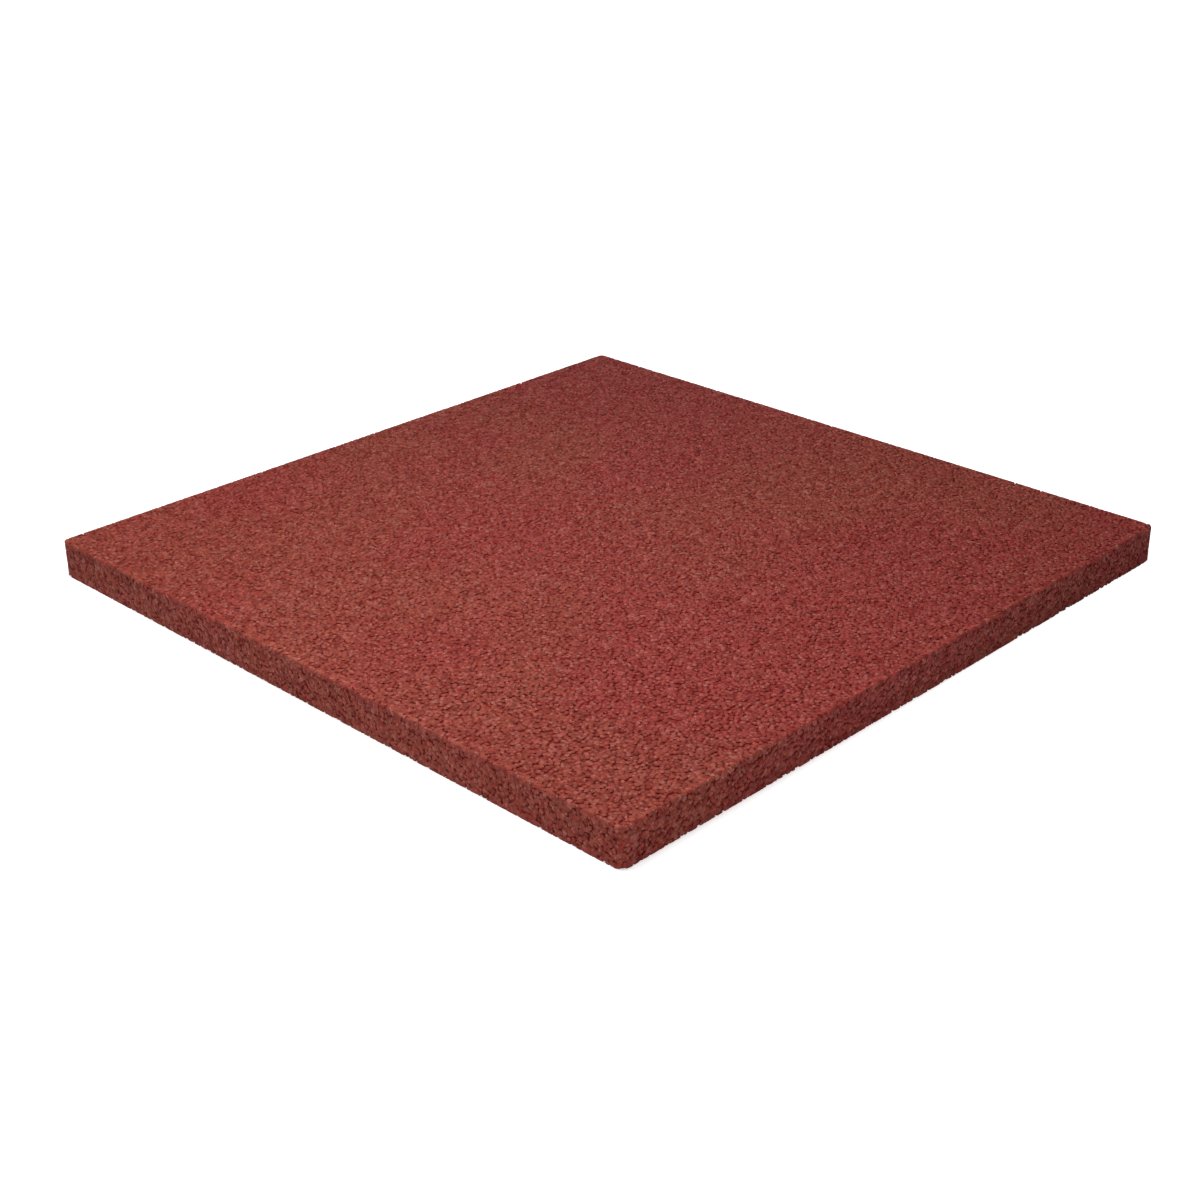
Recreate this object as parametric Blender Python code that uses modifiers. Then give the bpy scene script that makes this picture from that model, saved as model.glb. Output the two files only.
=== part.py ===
"""Rubber safety tile: a square slab pressed from rubber crumb in a mould, as one piece.

Metres, +Z up. The origin is the middle of the underside, which lies on the floor.
X and Y run along the sides.
"""

import math

import bmesh
import bpy

# Driving dimensions
SIDE = 0.500
THICKNESS = 0.025
CORNER_RADIUS = 0.004  # the four upright corners, seen from above
ARRIS_RADIUS = 0.001  # the rounded edge between the walking face and the sides

# Fineness of the round stretches
CORNER_SEGMENTS = 6
ARRIS_SEGMENTS = 4
SMOOTH_BELOW = math.radians(30)  # faces that meet at less than this are shaded as one

# Finish: red-brown pigmented rubber, linear colour
CRUMB_RED = (0.26, 0.055, 0.042, 1.0)
CRUMB_ROUGHNESS = 0.8

COLLECTION_NAME = "rubber_safety_tile"
TILE_NAME = "rubber_tile"
ARRIS_WEIGHT = "bevel_weight_edge"


def clear_scene():
    """Removes whatever the open file holds, so that the tile stands alone."""
    for obj in list(bpy.data.objects):
        bpy.data.objects.remove(obj, do_unlink=True)


def tile_collection():
    collection = bpy.data.collections.new(COLLECTION_NAME)
    bpy.context.scene.collection.children.link(collection)
    return collection


def crumb_rubber():
    """Matt rubber with no metallic part."""
    material = bpy.data.materials.new("crumb_rubber")
    material.use_nodes = True
    shader = material.node_tree.nodes["Principled BSDF"]
    shader.inputs["Base Color"].default_value = CRUMB_RED
    shader.inputs["Roughness"].default_value = CRUMB_ROUGHNESS
    shader.inputs["Metallic"].default_value = 0.0
    return material


def upright_edges(bm):
    """The edges that run from the underside to the walking face."""
    return [edge for edge in bm.edges if abs(edge.verts[0].co.z - edge.verts[1].co.z) > THICKNESS / 2]


def top_rim_edges(bm):
    """The edges around the walking face."""
    walking_face = max(bm.faces, key=lambda face: face.calc_center_median().z)
    return walking_face.edges


def slab_mesh():
    """The slab with rounded upright corners, and its top rim marked for the arris."""
    bm = bmesh.new()
    bmesh.ops.create_cube(bm, size=1.0)
    bmesh.ops.scale(bm, vec=(SIDE, SIDE, THICKNESS), verts=bm.verts)
    bmesh.ops.translate(bm, vec=(0, 0, THICKNESS / 2), verts=bm.verts)
    bmesh.ops.bevel(
        bm,
        geom=upright_edges(bm),
        offset=CORNER_RADIUS,
        segments=CORNER_SEGMENTS,
        profile=0.5,
        affect="EDGES",
    )
    bm.normal_update()
    weight = bm.edges.layers.float.new(ARRIS_WEIGHT)
    for edge in top_rim_edges(bm):
        edge[weight] = 1.0
    mesh = bpy.data.meshes.new(TILE_NAME)
    bm.to_mesh(mesh)
    bm.free()
    mesh.shade_smooth()
    mesh.set_sharp_from_angle(angle=SMOOTH_BELOW)
    return mesh


def rubber_tile(collection):
    """The tile itself: the slab, with its arris rounded by a Bevel on the marked rim."""
    tile = bpy.data.objects.new(TILE_NAME, slab_mesh())
    collection.objects.link(tile)
    tile.data.materials.append(crumb_rubber())
    arris = tile.modifiers.new("arris", "BEVEL")
    arris.limit_method = "WEIGHT"
    arris.width = ARRIS_RADIUS
    arris.segments = ARRIS_SEGMENTS
    arris.harden_normals = True
    return tile


clear_scene()
rubber_tile(tile_collection())
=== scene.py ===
# %% [markdown]
# # A rubber safety tile
#
# The real tile is pressed in a square steel mould. Rubber crumb, coated with a red-brown binder, is filled
# in, squeezed flat and cured, and the tile comes out as one piece. Its faces are many small crumbs, level
# where they lay against the steel, with small open pores between them.
#
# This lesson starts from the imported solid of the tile, which gives the exact inside of the mould, and makes
# the crumb that fills it. It could be a plain slab with a bump pattern, but then the outline would stay a
# ruled line, and no light would ever be lost in a pore. So each crumb is a small solid.

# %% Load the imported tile
import math

import bmesh
import bpy
from mathutils import Matrix, Vector


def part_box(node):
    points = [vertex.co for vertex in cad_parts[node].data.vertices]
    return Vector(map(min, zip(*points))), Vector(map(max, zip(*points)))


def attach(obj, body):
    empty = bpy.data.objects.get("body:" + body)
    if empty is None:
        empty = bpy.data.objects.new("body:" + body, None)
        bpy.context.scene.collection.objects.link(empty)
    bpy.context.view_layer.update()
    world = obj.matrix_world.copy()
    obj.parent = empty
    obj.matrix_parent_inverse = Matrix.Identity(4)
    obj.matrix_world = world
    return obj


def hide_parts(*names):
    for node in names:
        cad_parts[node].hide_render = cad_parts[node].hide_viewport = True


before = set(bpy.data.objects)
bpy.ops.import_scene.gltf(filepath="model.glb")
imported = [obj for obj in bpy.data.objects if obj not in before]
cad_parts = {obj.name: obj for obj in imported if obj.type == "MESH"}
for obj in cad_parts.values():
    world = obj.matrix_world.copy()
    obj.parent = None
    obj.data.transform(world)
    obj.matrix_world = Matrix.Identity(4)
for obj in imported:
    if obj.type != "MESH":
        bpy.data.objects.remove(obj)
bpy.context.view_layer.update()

MM = 0.001
TILE_NODE = "rubber_tile"
tile_low, tile_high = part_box(TILE_NODE)
tile_size = tile_high - tile_low
print("the mould is", [round(side / MM, 2) for side in tile_size], "mm inside")

# %% [markdown]
# ## Wires for node trees
#
# The crumb and its finish are both node trees. Placing nodes one by one hides what a tree computes, so a
# small class wraps an output socket and lets Python's own operators add the Math nodes: `1 - mask` is then
# one Subtract node. A second class holds the tree, and has the one method that adds any other node.


# %% A wire
class Wire:
    """An output socket. Arithmetic on it adds Math nodes to its sheet."""

    def __init__(self, sheet, socket):
        self.sheet = sheet
        self.socket = socket

    def maths(self, operation, first, second):
        return self.sheet.add("ShaderNodeMath", {"operation": operation}, {0: first, 1: second})

    def __add__(self, other):
        return self.maths("ADD", self, other)

    def __sub__(self, other):
        return self.maths("SUBTRACT", self, other)

    def __rsub__(self, other):
        return self.maths("SUBTRACT", other, self)

    def __mul__(self, other):
        return self.maths("MULTIPLY", self, other)

    def __truediv__(self, other):
        return self.maths("DIVIDE", self, other)

    def __rtruediv__(self, other):
        return self.maths("DIVIDE", other, self)

    def __neg__(self):
        return self.maths("MULTIPLY", self, -1.0)

    def __abs__(self):
        return self.maths("ABSOLUTE", self, 0.0)

    def __gt__(self, other):
        return self.maths("GREATER_THAN", self, other)

    def __lt__(self, other):
        return self.maths("LESS_THAN", self, other)

    __radd__ = __add__

    def also(self, name):
        """Another output of the node that this one belongs to."""
        return Wire(self.sheet, socket_of(self.socket.node.outputs, name))


def socket_of(sockets, key):
    """A socket by its place in the list, or by its name among those that the settings leave in use."""
    if isinstance(key, int):
        return sockets[key]
    return next(socket for socket in sockets if socket.enabled and socket.name == key)


# %% The sheet that wires are drawn on
class Sheet:
    """A node tree that is being drawn."""

    def __init__(self, tree):
        self.tree = tree

    def add(self, kind, settings=None, inputs=None, output=None):
        """Adds a node: its settings first, then the values or wires of its inputs. Returns one output."""
        node = self.tree.nodes.new(kind)
        for name, value in (settings or {}).items():
            setattr(node, name, value)
        for key, value in (inputs or {}).items():
            socket = socket_of(node.inputs, key)
            if isinstance(value, Wire):
                self.tree.links.new(value.socket, socket)
            else:
                socket.default_value = value
        if output is not None:
            return Wire(self, socket_of(node.outputs, output))
        in_use = [socket for socket in node.outputs if socket.enabled]
        return Wire(self, in_use[0]) if in_use else None

    def vector(self, operation, first, second):
        return self.add("ShaderNodeVectorMath", {"operation": operation}, {0: first, 1: second})

    def scaled(self, vector, by):
        return self.add("ShaderNodeVectorMath", {"operation": "SCALE"}, {"Vector": vector, "Scale": by})

    def dot(self, first, second):
        return self.add(
            "ShaderNodeVectorMath", {"operation": "DOT_PRODUCT"}, {0: first, 1: second}, output="Value"
        )

    def parts(self, vector):
        """The three numbers of a vector."""
        x = self.add("ShaderNodeSeparateXYZ", None, {0: vector}, output="X")
        return x, x.also("Y"), x.also("Z")

    def ramp(self, value, start, end, low=0.0, high=1.0):
        """A smooth step from low to high while value goes from start to end."""
        return self.add(
            "ShaderNodeMapRange",
            {"interpolation_type": "SMOOTHSTEP"},
            {"Value": value, "From Min": start, "From Max": end, "To Min": low, "To Max": high},
        )


# %% [markdown]
# ## The mould
#
# The crumb is scattered over the inside of the mould and pressed against it, so the mould's face is the
# first mesh that is needed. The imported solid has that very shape. Its mesh is loose triangles, so a copy of
# it is welded, and the solid itself is left alone.

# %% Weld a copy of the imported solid
WELD_DISTANCE = 0.001 * MM


def welded_copy(node_name, name):
    """The solid's mesh with its triangles joined at their shared corners."""
    bm = bmesh.new()
    bm.from_mesh(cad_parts[node_name].data)
    bmesh.ops.remove_doubles(bm, verts=bm.verts, dist=WELD_DISTANCE)
    mesh = bpy.data.meshes.new(name)
    bm.to_mesh(mesh)
    bm.free()
    return mesh


mould = welded_copy(TILE_NODE, "mould")
print("the mould has", len(mould.vertices), "corners and", len(mould.polygons), "faces")

# %% [markdown]
# ## Crumb from Geometry Nodes
#
# A crumb is a small angular chip of rubber. Nearly fifty thousand are needed, all unlike, and that is what
# Geometry Nodes do well. The tree has five steps, and each gets a cell of its own: points over the mould, a
# chip on each point, the press, a flat map for painting, and the shading. Its sizes are named inputs, so
# that the walking face, the sides and the underside are made by the same tree. Each random choice has a
# fixed seed of its own, so the tile comes out the same every time.

# %% The tree's inputs and the notes that a crumb carries
CRUMB_INPUTS = {
    "Mould": "NodeSocketGeometry",
    "Spacing": "NodeSocketFloat",
    "Crumb Size": "NodeSocketFloat",
    "Ruggedness": "NodeSocketFloat",
    "Least Sink": "NodeSocketFloat",
    "Most Sink": "NodeSocketFloat",
    "Pore Sink": "NodeSocketFloat",
    "Pore Spacing": "NodeSocketFloat",
    "Pore Level": "NodeSocketFloat",
    "Most Seat": "NodeSocketFloat",
    "Lowest Facing": "NodeSocketFloat",
    "Highest Facing": "NodeSocketFloat",
    "From X": "NodeSocketFloat",
    "To X": "NodeSocketFloat",
    "Finish": "NodeSocketMaterial",
}
TONE = "crumb_tone"  # 0 to 1, the same all over one crumb
DEPTH = "crumb_depth"  # metres from the mould's face
SEAT = "crumb_seat"  # metres from the mould's face to where a crumb's corners are pressed
WALL = "crumb_wall"  # 0 to 3 on the four sides, and -1 on the walking face and the underside
(
    SCATTER_SEED,
    SINK_SEED,
    TURN_SEED,
    LENGTH_SEED,
    SIZE_SEED,
    TONE_SEED,
    SEAT_SEED,
    SHAPE_SEED,
    TILT_SEED,
) = range(11, 20)


def random_number(sheet, low, high, seed):
    return sheet.add(
        "FunctionNodeRandomValue", {"data_type": "FLOAT"}, {"Min": low, "Max": high, "Seed": seed}
    )


def random_vector(sheet, low, high, seed):
    return sheet.add(
        "FunctionNodeRandomValue",
        {"data_type": "FLOAT_VECTOR"},
        {"Min": (low,) * 3, "Max": (high,) * 3, "Seed": seed},
    )


def noted(sheet, name):
    """What a note says, wherever it is asked."""
    return sheet.add("GeometryNodeInputNamedAttribute", {"data_type": "FLOAT"}, {"Name": name})


def note(sheet, geometry, name, domain, value, data_type="FLOAT"):
    """Stores a note on the geometry."""
    return sheet.add(
        "GeometryNodeStoreNamedAttribute",
        {"data_type": data_type, "domain": domain},
        {"Geometry": geometry, "Name": name, "Value": value},
    )


# %% [markdown]
# ### Points over the mould
#
# Crumb packs so that no two pieces share a place, which a Poisson scatter copies: it drops points at random
# and removes each one that lies too near another. It fills the face well when it has several candidates for
# each place. Each point then sinks into the mould by a little of its own. The pores of the real tile are
# wider than one crumb, so where a fine noise peaks the points sink further, two or three together.

# %% Scatter and sink
CANDIDATES = 7.0  # points dropped for each square of one spacing
PORE_DETAIL = 0.0  # no finer layers on the noise that places the pores
PORE_RIM = 0.05  # how much that noise rises from a pore's rim to its bottom


def scattered_points(sheet, mould_wire):
    """Points on the part of the mould that faces the wanted way, and the way it faces at each."""
    given = mould_wire.also
    facing = sheet.parts(sheet.add("GeometryNodeInputNormal"))[2]
    points = sheet.add(
        "GeometryNodeDistributePointsOnFaces",
        {"distribute_method": "POISSON"},
        {
            "Mesh": mould_wire,
            "Selection": (facing > given("Lowest Facing")) * (facing < given("Highest Facing")),
            "Distance Min": given("Spacing"),
            "Density Max": CANDIDATES / (given("Spacing") * given("Spacing")),
            "Seed": SCATTER_SEED,
        },
    )
    along = sheet.parts(sheet.add("GeometryNodeInputPosition"))[0]
    kept = sheet.add(
        "GeometryNodeSeparateGeometry",
        {"domain": "POINT"},
        {"Geometry": points, "Selection": (along > given("From X")) * (along < given("To X"))},
    )
    return kept, points.also("Normal")


def sunk_points(sheet, points, outward, given):
    clump = sheet.add(
        "ShaderNodeTexNoise", None, {"Scale": 1.0 / given("Pore Spacing"), "Detail": PORE_DETAIL}
    )
    pore = sheet.ramp(clump, given("Pore Level"), given("Pore Level") + PORE_RIM)
    sink = random_number(sheet, given("Least Sink"), given("Most Sink"), SINK_SEED)
    sink = sink + pore * given("Pore Sink")
    return sheet.add(
        "GeometryNodeSetPosition", None, {"Geometry": points, "Offset": sheet.scaled(outward, -sink)}
    )


# %% [markdown]
# ### A chip on every point
#
# An icosphere has twenty faces, about the fewest that still give an angular lump. Each copy is turned at
# random and stretched differently along its three axes. Then the copies are made real, and every corner
# moves by its own random step, so that no two chips keep the same shape. Three notes are written on each
# chip before that: its tone, which the finish reads, how deep it seats, which the press reads, and which
# wall it lies on, which the map reads.

# %% Chips
CHIP_RADIUS = 0.5  # so that a chip is one crumb size across before it is stretched
CHIP_LENGTHS = (0.9, 1.15)  # how much a chip is stretched along each axis
CHIP_SIZES = (0.8, 1.15)  # the smallest and the largest chip, in crumb sizes
FLAT_FACING = 0.5  # a face lies flat if its normal reaches further up or down than this


def wall_number(sheet, outward):
    """0, 1, 2 or 3 where the mould faces +X, -X, +Y or -Y, and -1 where it faces up or down."""
    x, y, z = sheet.parts(outward)
    along_y = abs(y) > abs(x)
    wall = along_y * 2.0 + (x + y < 0.0)
    flat = abs(z) > FLAT_FACING
    return wall * (1.0 - flat) - flat


def chips_on(sheet, points, outward, given):
    chip = sheet.add("GeometryNodeMeshIcoSphere", None, {"Radius": CHIP_RADIUS, "Subdivisions": 1})
    size = random_number(sheet, *CHIP_SIZES, SIZE_SEED) * given("Crumb Size")
    points = note(sheet, points, WALL, "POINT", wall_number(sheet, outward))
    crumb = sheet.add(
        "GeometryNodeInstanceOnPoints",
        None,
        {
            "Points": points,
            "Instance": chip,
            "Rotation": random_vector(sheet, 0.0, math.tau, TURN_SEED),
            "Scale": sheet.scaled(random_vector(sheet, *CHIP_LENGTHS, LENGTH_SEED), size),
        },
    )
    crumb = note(sheet, crumb, TONE, "INSTANCE", random_number(sheet, 0.0, 1.0, TONE_SEED))
    crumb = note(sheet, crumb, SEAT, "INSTANCE", random_number(sheet, 0.0, given("Most Seat"), SEAT_SEED))
    crumb = sheet.add("GeometryNodeRealizeInstances", None, {"Geometry": crumb})
    step = given("Ruggedness") * given("Crumb Size")
    return sheet.add(
        "GeometryNodeSetPosition",
        None,
        {"Geometry": crumb, "Offset": sheet.scaled(random_vector(sheet, -1.0, 1.0, SHAPE_SEED), step)},
    )


# %% [markdown]
# ### The press
#
# This step gives a pressed tile its look. Each corner of each chip is compared with the nearest place on
# the mould. One that sticks out, or nearly reaches the face, is moved to just inside it, so crumbs end
# level, and the rest keep their broken shape, which makes pores. A crumb doesn't sit quite as deep as the
# next one, and not quite flat: that is the seat. How deep each corner lies is written down for the finish.
# At the sharp bottom edge the nearest face can be the wrong one of two, so the mould's box has the last
# word.

# %% Press the chips
LEVEL_SHARE = 0.5  # the part of the seat that a whole crumb shares; the rest differs from corner to corner


def pressed(sheet, crumb, mould_wire):
    place = sheet.add("GeometryNodeInputPosition")
    facing = sheet.add(
        "GeometryNodeFieldOnDomain",
        {"data_type": "FLOAT_VECTOR", "domain": "FACE"},
        {0: sheet.add("GeometryNodeInputNormal")},
    )
    nearest, outward = (
        sheet.add(
            "GeometryNodeSampleNearestSurface",
            {"data_type": "FLOAT_VECTOR"},
            {"Mesh": mould_wire, "Value": value},
        )
        for value in (place, facing)
    )
    height = sheet.dot(sheet.vector("SUBTRACT", place, nearest), outward)
    seat = noted(sheet, SEAT) * (LEVEL_SHARE + random_number(sheet, 0.0, 1.0 - LEVEL_SHARE, TILT_SEED))
    crumb = sheet.add(
        "GeometryNodeSetPosition",
        None,
        {
            "Geometry": crumb,
            "Selection": height > -seat,
            "Position": sheet.vector("SUBTRACT", nearest, sheet.scaled(outward, seat)),
        },
    )
    low = sheet.add("GeometryNodeBoundBox", None, {"Geometry": mould_wire}, output="Min")
    inside = sheet.vector("MINIMUM", sheet.vector("MAXIMUM", place, low), low.also("Max"))
    crumb = sheet.add("GeometryNodeSetPosition", None, {"Geometry": crumb, "Position": inside})
    return note(sheet, crumb, DEPTH, "POINT", -height)


# %% [markdown]
# ### A flat map for painting
#
# To be used outside Blender the finish has to be painted on an image, and a map says which spot of it goes
# where. A usual unwrap gives each of the thousands of little faces its own scrap of the image, smaller than a
# dot of it.
# So the crumb is mapped as it is seen: the walking face from above, and each side from outside, one over
# the other. Faces deep in a pore then share their spot with the crumb over them. Sorting the faces from
# deep to shallow lets the outer one be painted last.

# %% The map
BAKE_MAP = "OFBake"
WALLS = 4
WALL_MARGIN = 0.03  # bare share of a side's band on the map, above and below
LEAST_WALL = -0.5  # a wall number above this is one of the four sides
LEAST_Y_WALL = 1.5  # one above this is a side that faces along Y


def mapped(sheet, crumb):
    low = sheet.add("GeometryNodeBoundBox", None, {"Geometry": crumb}, output="Min")
    size = sheet.vector("SUBTRACT", low.also("Max"), low)
    from_low = sheet.vector("SUBTRACT", sheet.add("GeometryNodeInputPosition"), low)
    x, y, z = sheet.parts(sheet.vector("DIVIDE", from_low, size))
    wall = noted(sheet, WALL)
    upright = wall > LEAST_WALL
    along_y = wall > LEAST_Y_WALL
    band = WALL_MARGIN + z * (1.0 - 2.0 * WALL_MARGIN)
    across = x + upright * (1.0 - along_y) * (y - x)
    up = y + upright * ((wall + band) / WALLS - y)
    spot = sheet.add("ShaderNodeCombineXYZ", None, {"X": across, "Y": up})
    crumb = note(sheet, crumb, BAKE_MAP, "CORNER", spot, data_type="FLOAT2")
    return sheet.add(
        "GeometryNodeSortElements",
        {"domain": "FACE"},
        {"Geometry": crumb, "Sort Weight": -noted(sheet, DEPTH)},
    )


# %% [markdown]
# ### The shading
#
# Pressed rubber is softly lumpy and not faceted, so the crumbs are shaded smooth. Along the arris and the
# other edges that would blend the walking face into the sides and wash the edge out, so there they stay
# flat. A test gives 0 or 1, so a sum of tests counts how many hold.

# %% Where crumbs stay flat
EDGE_REACH = 3.0 * MM
HALF = 0.5  # lies between the 0 and the 1 of a test


def near_an_edge(sheet, mould_wire):
    """1 where two or more sides of the mould's box are nearer than EDGE_REACH, and 0 elsewhere."""
    place = sheet.add("GeometryNodeInputPosition")
    low = sheet.add("GeometryNodeBoundBox", None, {"Geometry": mould_wire}, output="Min")
    from_low = sheet.vector("SUBTRACT", place, low)
    from_high = sheet.vector("SUBTRACT", low.also("Max"), place)
    x, y, z = sheet.parts(sheet.vector("MINIMUM", from_low, from_high))
    return (x < EDGE_REACH) + (y < EDGE_REACH) + (z < EDGE_REACH) > 1 + HALF


# %% [markdown]
# ### The whole tree
#
# The steps are joined in their order. The notes that only the press and the map needed are taken off, and
# the finish goes on at the end, because the copies are real by then and nothing has to pass through them.

# %% Join the steps
def crumb_tree():
    tree = bpy.data.node_groups.new("pressed_crumb", "GeometryNodeTree")
    for name, kind in CRUMB_INPUTS.items():
        tree.interface.new_socket(name=name, in_out="INPUT", socket_type=kind)
    tree.interface.new_socket(name="Crumb", in_out="OUTPUT", socket_type="NodeSocketGeometry")
    sheet = Sheet(tree)
    mould_wire = sheet.add("NodeGroupInput")
    given = mould_wire.also
    points, outward = scattered_points(sheet, mould_wire)
    points = sunk_points(sheet, points, outward, given)
    crumb = chips_on(sheet, points, outward, given)
    crumb = pressed(sheet, crumb, mould_wire)
    crumb = mapped(sheet, crumb)
    for name in (SEAT, WALL):
        crumb = sheet.add("GeometryNodeRemoveAttribute", None, {"Geometry": crumb, "Name": name})
    soft = near_an_edge(sheet, mould_wire) < HALF
    crumb = sheet.add("GeometryNodeSetShadeSmooth", None, {"Geometry": crumb, "Shade Smooth": soft})
    crumb = sheet.add("GeometryNodeSetMaterial", None, {"Geometry": crumb, "Material": given("Finish")})
    sheet.add("NodeGroupOutput", None, {0: crumb})
    return tree


pressed_crumb = crumb_tree()
print("the crumb's tree has", len(pressed_crumb.nodes), "nodes")

# %% [markdown]
# ## The finish of the rubber
#
# The binder is red-brown and matt, and no two crumbs took up quite the same amount of it. One with much
# binder is deep and saturated, and one with little is paler, so a tint multiplies the colour, and a plain
# grey factor would not do. Each crumb also leans to red or to brown, and over a hand's width or two one of
# them wins. A few crumbs are dark or pale outright. Blotches lie over that, and small pale flecks, which are
# painted glints: light catching on crumb edges, painted into the colour. Pores are painted a deeper red by
# their depth, which is painted shade: the light that leaves a real pore has met rubber more than once. The
# surface of a crumb is torn, which is too fine for the mesh, so a bump carries it.

# %% Colours of the finish
RED = (0.345, 0.039, 0.036, 1.0)
BROWN = (0.320, 0.062, 0.036, 1.0)
STRONG_TINT = (0.90, 0.74, 0.70, 1.0)
WEAK_TINT = (1.12, 1.28, 1.32, 1.0)
PORE_SHADE_RED = (0.260, 0.016, 0.013, 1.0)
DARK_RED = (0.150, 0.010, 0.008, 1.0)
# the colour of pale crumbs, and of the painted glints
PALE_AND_GLINT_RED = (0.540, 0.210, 0.160, 1.0)
BLOTCHES = (0.82, 1.18)

# %% Sizes of what varies in it
PATCH_SIZE = 180 * MM
PATCH_SHIFT = (-1.17, 1.88, -2.74)  # metres; with it more of the brown lies at the left, as in the photo
BLOTCH_SIZE = 4.0 * MM
GLINT_FLECK_SIZE = 1.5 * MM
TEAR_SIZE = 0.6 * MM
TEAR_DEPTH = 0.08 * MM

# %% How many finer layers each noise has
PATCH_DETAIL = 2.0
BLOTCH_DETAIL = 2.0
GLINT_FLECK_DETAIL = 0.0
TEAR_DETAIL = 3.0

# %% Where each kind of variation begins and ends
PATCH_RIM = (0.4, 0.6)  # these three in the noise, which runs from 0 to 1
BLOTCH_RIM = (0.3, 0.7)
GLINT_FLECK_RIM = (0.69, 0.75)
DARK_TONES = (0.18, 0.08)  # these two in the tone of a crumb
PALE_TONES = (0.90, 0.96)
PORE_DEPTHS = (0.15 * MM, 1.0 * MM)

# %% How far each kind goes
PATCH_SHARE = 0.5  # of a crumb's lean to red or brown; the rest is its own
PALE_SHARE = 0.2
GLINT_FLECK_SHARE = 0.6
DARK_SHARE = 0.3
PORE_SHADE_SHARE = 0.7
LEAN_SHUFFLE = 91.0  # spreads the tone out, so that the lean doesn't follow it

# %% Gloss and relief
ROUGHNESS = (0.75, 0.55)
GLOSS = 0.22
TEAR_STRENGTH = 0.5


# %% The finish
def rubber_finish(name):
    material = bpy.data.materials.new(name)
    material.use_nodes = True
    material.node_tree.nodes.clear()
    sheet = Sheet(material.node_tree)
    place = sheet.add("ShaderNodeTexCoord", output="Object")
    tone = sheet.add("ShaderNodeAttribute", {"attribute_name": TONE}, output="Fac")
    depth = sheet.add("ShaderNodeAttribute", {"attribute_name": DEPTH}, output="Fac")

    def noise(size, detail, where=place):
        return sheet.add(
            "ShaderNodeTexNoise", None, {"Vector": where, "Scale": 1.0 / size, "Detail": detail}
        )

    def mixed(share, first, second):
        return sheet.add(
            "ShaderNodeMix",
            {"data_type": "RGBA"},
            {"Factor": share, "A": first, "B": second},
            output="Result",
        )

    lean = sheet.add(
        "ShaderNodeTexWhiteNoise", {"noise_dimensions": "1D"}, {"W": tone * LEAN_SHUFFLE}, output="Value"
    )
    shifted = sheet.vector("ADD", place, PATCH_SHIFT)
    patch = sheet.ramp(noise(PATCH_SIZE, PATCH_DETAIL, shifted), *PATCH_RIM)
    blotch = sheet.ramp(noise(BLOTCH_SIZE, BLOTCH_DETAIL), *BLOTCH_RIM, *BLOTCHES)
    glint_fleck = sheet.ramp(noise(GLINT_FLECK_SIZE, GLINT_FLECK_DETAIL), *GLINT_FLECK_RIM)
    dark = sheet.ramp(tone, *DARK_TONES)
    pale = sheet.ramp(tone, *PALE_TONES)
    pore = sheet.ramp(depth, *PORE_DEPTHS)
    colour = mixed(lean * (1.0 - PATCH_SHARE) + patch * PATCH_SHARE, RED, BROWN)
    colour = sheet.vector("MULTIPLY", colour, mixed(tone, STRONG_TINT, WEAK_TINT))
    colour = sheet.scaled(colour, blotch)
    colour = mixed(pale * PALE_SHARE, colour, PALE_AND_GLINT_RED)
    # painted glints: small pale flecks that stand in for light glinting off the crumb
    colour = mixed(glint_fleck * GLINT_FLECK_SHARE, colour, PALE_AND_GLINT_RED)
    colour = mixed(dark * DARK_SHARE, colour, DARK_RED)
    # painted shade: the deeper a corner lies in a pore, the more it takes the shaded deep red
    colour = mixed(pore * PORE_SHADE_SHARE, colour, PORE_SHADE_RED)
    torn = noise(TEAR_SIZE, TEAR_DETAIL)
    bump = sheet.add(
        "ShaderNodeBump", None, {"Strength": TEAR_STRENGTH, "Distance": TEAR_DEPTH, "Height": torn}
    )
    shader = sheet.add(
        "ShaderNodeBsdfPrincipled",
        None,
        {
            "Base Color": colour,
            "Roughness": sheet.ramp(tone, 0.0, 1.0, *ROUGHNESS),
            "Specular IOR Level": GLOSS,
            "Normal": bump,
        },
    )
    sheet.add("ShaderNodeOutputMaterial", None, {"Surface": shader})
    return material


crumb_finish = rubber_finish("crumb_finish")
print("the finish has", len(crumb_finish.node_tree.nodes), "nodes")

# %% [markdown]
# ## The crumb, piece by piece
#
# The crumbs that face the mould are the ones that show, so only one layer of them is made, over all six
# faces. They are nearly twice as wide as their spacing, so their pressed tops run into each other and only
# the pores stay open. A mesh of more than some two hundred thousand triangles is slow to handle, so the
# walking face comes in four strips that interlock. A modifier's inputs are set by their identifiers, and
# the result is kept as a plain mesh.

# %% How a piece of crumb is made
PRESSED = {
    "Spacing": 2.1 * MM,
    "Crumb Size": 3.9 * MM,
    "Ruggedness": 0.08,
    "Least Sink": 0.0 * MM,
    "Most Sink": 0.3 * MM,
    "Pore Sink": 1.1 * MM,
    "Pore Spacing": 3.2 * MM,
    "Pore Level": 0.60,
    "Most Seat": 0.08 * MM,
}
CHIP_FACES = 20


def plain_mesh(obj):
    """Puts the mesh that the modifiers make in place of the modifiers."""
    graph = bpy.context.evaluated_depsgraph_get()
    mesh = bpy.data.meshes.new_from_object(obj.evaluated_get(graph), depsgraph=graph)
    obj.modifiers.clear()
    obj.data = mesh


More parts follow.
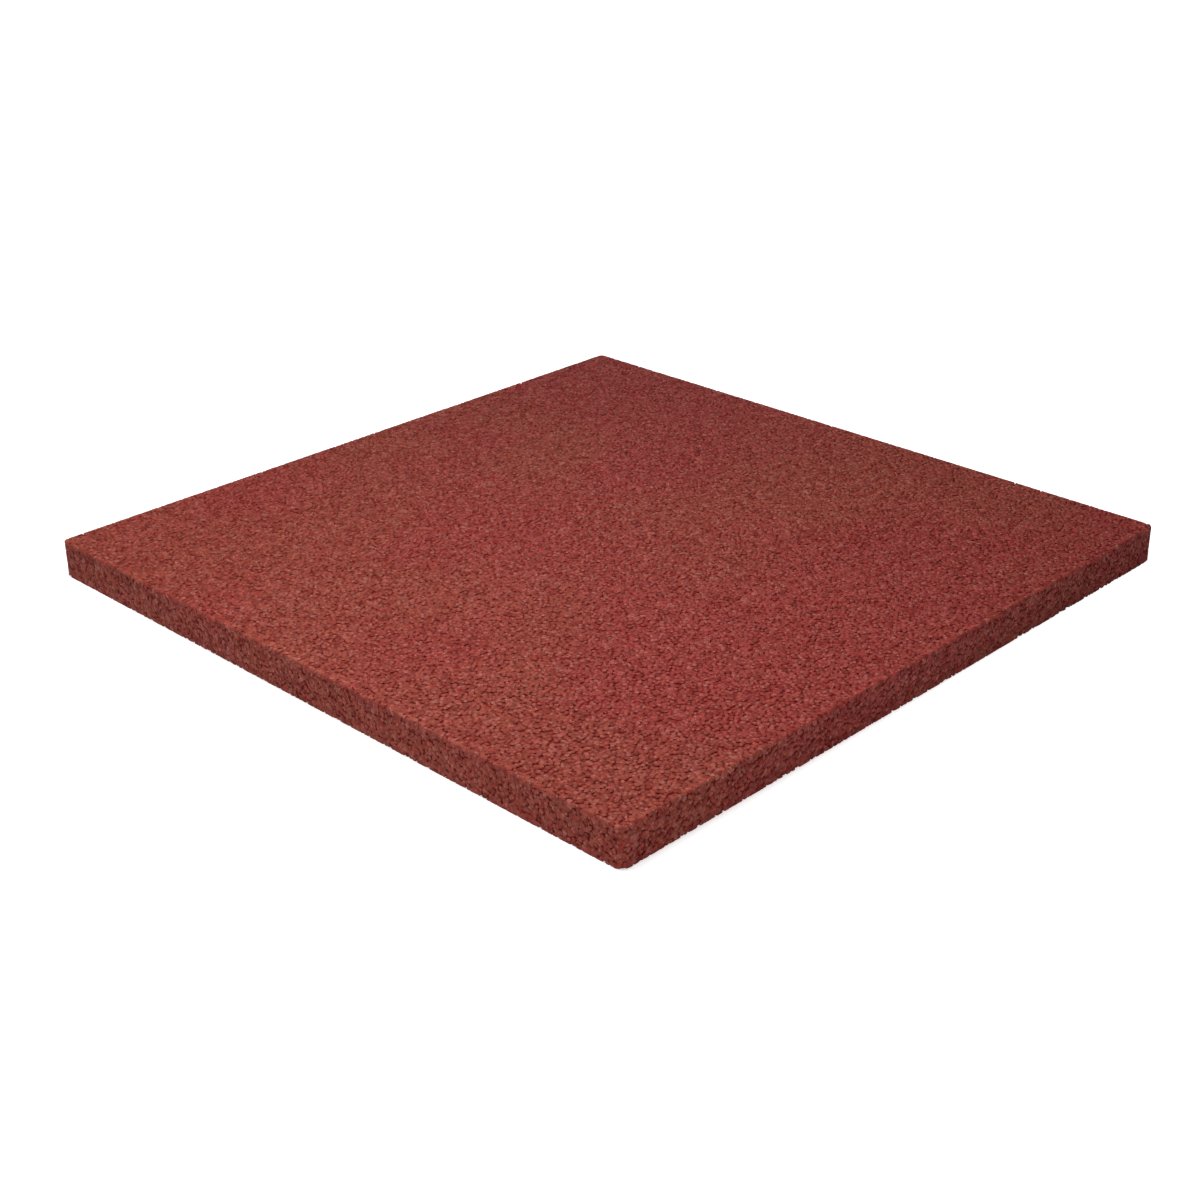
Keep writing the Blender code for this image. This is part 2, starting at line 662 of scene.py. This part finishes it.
def crumb_piece(name, facing, along_x, **sizes):
    """Crumb where the mould's normal has its Z within facing, and its points lie within along_x."""
    piece = bpy.data.objects.new(name, mould.copy())
    bpy.context.scene.collection.objects.link(piece)
    press = piece.modifiers.new("press", "NODES")
    press.node_group = pressed_crumb
    values = PRESSED | sizes
    values["Finish"] = crumb_finish
    values["Lowest Facing"], values["Highest Facing"] = facing
    values["From X"], values["To X"] = along_x
    for item in pressed_crumb.interface.items_tree:
        if item.name in values:
            press[item.identifier] = values[item.name]
    plain_mesh(piece)
    piece.data.name = name
    faces = len(piece.data.polygons)
    print(name, "has", faces // CHIP_FACES, "crumbs and", faces, "triangles")
    return piece


# %% [markdown]
# ### The walking face
#
# It reaches over the rounded arris too, down to where the face turns from lying to standing. The cuts
# between strips choose crumbs by their middle, so a crumb on a cut stays whole.

# %% The walking face in strips
STRIPS = 4
PAST_NORMAL = 1.1  # further than a normal reaches
FACING_UP = (FLAT_FACING, PAST_NORMAL)
FACING_OUT = (-FLAT_FACING, FLAT_FACING)
FACING_DOWN = (-PAST_NORMAL, -FLAT_FACING)
FAR = 1.0  # metres, well past either end of the tile
ALL_X = (-FAR, FAR)
cuts = [tile_low.x + tile_size.x * number / STRIPS for number in range(1, STRIPS)]
crumb_pieces = []
for number, strip in enumerate(zip([-FAR, *cuts], [*cuts, FAR]), start=1):
    crumb_pieces.append(crumb_piece(f"crumb_walking_face_{number}", FACING_UP, strip))

# %% [markdown]
# ### The four sides
#
# They are as plain as the walking face: the mould's walls are flat too. The press slides the crumb along
# them, which leaves it a little more level there.

# %% The sides
SIDES = {"Most Seat": 0.05 * MM}
crumb_pieces.append(crumb_piece("crumb_sides", FACING_OUT, ALL_X, **SIDES))

# %% [markdown]
# ### The underside
#
# It doesn't show in the photo. Such a tile is often plain there, so it is made flat too. Its crumbs are
# larger and fewer than real ones, because a face that lies on the floor needs no finer mesh.

# %% The underside
UNDERSIDE = {
    "Spacing": 4.1 * MM,
    "Crumb Size": 7.4 * MM,
    "Least Sink": 0.8 * MM,
    "Most Sink": 2.0 * MM,
}
crumb_pieces.append(crumb_piece("crumb_underside", FACING_DOWN, ALL_X, **UNDERSIDE))

# %% [markdown]
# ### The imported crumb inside
#
# The one layer is open between its crumbs. Behind it lies the rest of the tile, which only shows at the
# bottom of pores and between the crumbs along the floor. So it is one block of the mould's own shape, moved
# in a little from each face, and less at the floor, where a deep gap would let light under the tile. It
# takes the same finish, told by its notes that it lies deep and has a middling tone.

# %% The core
CORE_SIDE_INSET = 0.8 * MM
CORE_TOP_INSET = 0.9 * MM
CORE_BOTTOM_INSET = 0.4 * MM
# deep enough that the finish gives the core nearly the full painted shade of the pores
CORE_DEPTH = 0.9 * MM
CORE_TONE = 0.5


def core_piece(name):
    core_low = tile_low + Vector((CORE_SIDE_INSET, CORE_SIDE_INSET, CORE_BOTTOM_INSET))
    core_high = tile_high - Vector((CORE_SIDE_INSET, CORE_SIDE_INSET, CORE_TOP_INSET))
    core_size = core_high - core_low
    shrink = [core_side / side for core_side, side in zip(core_size, tile_size)]
    mesh = mould.copy()
    mesh.name = name
    mesh.transform(
        Matrix.Translation((core_low + core_high) / 2)
        @ Matrix.Diagonal((*shrink, 1.0))
        @ Matrix.Translation(-(tile_low + tile_high) / 2)
    )
    mesh.materials.clear()
    mesh.materials.append(rubber_finish("core_finish"))
    depth = mesh.attributes.new(DEPTH, "FLOAT", "POINT")
    depth.data.foreach_set("value", [CORE_DEPTH] * len(mesh.vertices))
    tone = mesh.attributes.new(TONE, "FLOAT", "POINT")
    tone.data.foreach_set("value", [CORE_TONE] * len(mesh.vertices))
    piece = bpy.data.objects.new(name, mesh)
    bpy.context.scene.collection.objects.link(piece)
    print(name, "is", [round(side / MM, 2) for side in core_size], "mm")
    return piece


core = core_piece("packed_core")

# %% [markdown]
# ## Seating
#
# The tile is one body, so every piece rides on it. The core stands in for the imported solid, which stays in
# the simulation and is hidden here.

# %% Seat the pieces
for piece in [core, *crumb_pieces]:
    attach(piece, "root")
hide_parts(TILE_NODE)
print(len(crumb_pieces) + 1, "pieces ride on the tile")

# %% [markdown]
# ## The studio
#
# The photo has even, soft light from above, strongest along the left near edge and weaker to the right, and
# a background so bright that it is pure white. A real floor under such a lamp gets darker away from it.
# Here its paint glows for the camera by as much as the lamp leaves it short of white, and lights the
# tile's sides only by what it reflects.

# %% Where the lamp hangs and how much light falls on the floor
LAMP_PLACE = Vector((-0.28, -0.02, 0.8))
LAMP_SIDE = 0.5
LAMP_POWER = 6.15
ROOM_LIGHT = 0.15
WHITE = (1.0, 1.0, 1.0)
FLOOR_PAINT = 0.9
FLOOR_WHITE = 1.5  # over 1, so that the tile's faint shadow is nearly white too
FLOOR_SIDE = 30.0
FLOOR_GAP = 0.05 * MM


def lamp_light(sheet, place):
    """What the lamp alone gives a white floor, by the cosine law, at a place on the floor."""
    height = LAMP_PLACE.z
    under = LAMP_POWER / (math.pi * height) ** 2
    foot = (LAMP_PLACE.x, LAMP_PLACE.y, 0.0)
    away = sheet.vector("SUBTRACT", place, foot)
    near = height**2 / (sheet.dot(away, away) + height**2)
    return near * near * under


# %% The floor
def floor_paint():
    material = bpy.data.materials.new("floor_paint")
    material.use_nodes = True
    material.node_tree.nodes.clear()
    sheet = Sheet(material.node_tree)
    light = lamp_light(sheet, sheet.add("ShaderNodeTexCoord", output="Object")) + ROOM_LIGHT
    seen = sheet.add("ShaderNodeLightPath", output="Is Camera Ray")
    shader = sheet.add(
        "ShaderNodeBsdfPrincipled",
        None,
        {
            "Base Color": (FLOOR_PAINT, FLOOR_PAINT, FLOOR_PAINT, 1.0),
            "Roughness": 1.0,
            "Specular IOR Level": 0.0,
            "Emission Color": sheet.scaled(WHITE, seen * (FLOOR_WHITE - light * FLOOR_PAINT)),
            "Emission Strength": 1.0,
        },
    )
    sheet.add("ShaderNodeOutputMaterial", None, {"Surface": shader})
    return material


def floor_piece():
    bm = bmesh.new()
    bmesh.ops.create_grid(bm, x_segments=1, y_segments=1, size=FLOOR_SIDE / 2)
    bmesh.ops.translate(bm, vec=(0, 0, tile_low.z - FLOOR_GAP), verts=bm.verts)
    mesh = bpy.data.meshes.new("floor")
    bm.to_mesh(mesh)
    bm.free()
    mesh.materials.append(floor_paint())
    floor = bpy.data.objects.new("floor", mesh)
    bpy.context.scene.collection.objects.link(floor)
    print("the floor is", FLOOR_SIDE, "m wide")
    return floor


floor_piece()

# %% [markdown]
# ## Light
#
# The lamp is a square soft box that looks straight down. It leaves the sides dark, so a small weak box
# stands low in front, a little to the right, and looks at the tile's near corner. A third, weak too, stands
# behind the tile, as a white wall would, and its light glances off the far half towards the camera, which
# makes that half a little paler. No box shows itself. The room around gives a weak even light, and is white
# where the camera looks past the floor.

# %% Where the two weak boxes stand
FILL_PLACE = Vector((-0.35, -0.8, 0.1))
FILL_AIM = Vector((-0.2, -0.25, 0.0))
FILL_SIDE = 0.3
FILL_POWER = 0.45
WALL_PLACE = Vector((0.9, 0.9, 0.45))
WALL_AIM = Vector((0.15, 0.15, 0.0))
WALL_SIDE = 0.6
WALL_POWER = 0.9


# %% The room and the boxes
def room():
    world = bpy.data.worlds.new("room")
    bpy.context.scene.world = world
    world.use_nodes = True
    world.node_tree.nodes.clear()
    sheet = Sheet(world.node_tree)
    seen = sheet.add("ShaderNodeLightPath", output="Is Camera Ray")
    light = sheet.add(
        "ShaderNodeBackground",
        None,
        {"Color": (*WHITE, 1.0), "Strength": ROOM_LIGHT + seen * (1.0 - ROOM_LIGHT)},
    )
    sheet.add("ShaderNodeOutputWorld", None, {"Surface": light})


def soft_box(name, place, aim, side, power):
    light = bpy.data.lights.new(name, "AREA")
    light.shape = "SQUARE"
    light.size = side
    light.energy = power
    lamp = bpy.data.objects.new(name, light)
    turned = (aim - place).to_track_quat("-Z", "Y").to_matrix().to_4x4()
    lamp.matrix_world = Matrix.Translation(place) @ turned
    lamp.visible_camera = False
    bpy.context.scene.collection.objects.link(lamp)


room()
soft_box("overhead_box", LAMP_PLACE, Vector((LAMP_PLACE.x, LAMP_PLACE.y, 0.0)), LAMP_SIDE, LAMP_POWER)
soft_box("fill_box", FILL_PLACE, FILL_AIM, FILL_SIDE, FILL_POWER)
soft_box("wall_box", WALL_PLACE, WALL_AIM, WALL_SIDE, WALL_POWER)
print("the boxes give", LAMP_POWER, "W above,", FILL_POWER, "W in front and", WALL_POWER, "W behind")

# %% [markdown]
# ## Camera
#
# Straight lines fitted to the tile's edges in the photo give the lens and the place that the photo was
# taken from: 26 degrees up, nearly along a diagonal, with a slight roll.

# %% The photo's camera
CAMERA_AZIMUTH = math.radians(-45.49)
CAMERA_ELEVATION = math.radians(26.03)
CAMERA_ROLL = math.radians(-0.59)
CAMERA_DISTANCE = 1.238
CAMERA_TARGET = Vector((-0.039, -0.0295, 0.0))
CAMERA_LENS_MM = 58.9
CAMERA_SENSOR_MM = 36.0


def camera_axes():
    """The camera's right, up and back, from the angles it looks along."""
    flat = math.cos(CAMERA_ELEVATION)
    back = Vector(
        (math.sin(CAMERA_AZIMUTH) * flat, -math.cos(CAMERA_AZIMUTH) * flat, math.sin(CAMERA_ELEVATION))
    )
    level = Vector((math.cos(CAMERA_AZIMUTH), math.sin(CAMERA_AZIMUTH), 0.0))
    right = level * math.cos(CAMERA_ROLL) + back.cross(level) * math.sin(CAMERA_ROLL)
    return right, back.cross(right), back


def photo_camera():
    data = bpy.data.cameras.new("camera")
    data.lens = CAMERA_LENS_MM
    data.sensor_width = CAMERA_SENSOR_MM
    data.sensor_fit = "HORIZONTAL"
    right, up, back = camera_axes()
    turned = Matrix((right, up, back)).transposed().to_4x4()
    camera = bpy.data.objects.new("camera", data)
    camera.matrix_world = Matrix.Translation(CAMERA_TARGET + back * CAMERA_DISTANCE) @ turned
    bpy.context.scene.collection.objects.link(camera)
    bpy.context.scene.camera = camera
    return camera


camera = photo_camera()
bpy.context.scene.view_settings.view_transform = "Standard"
print("the camera stands at", [round(part, 3) for part in camera.matrix_world.translation])
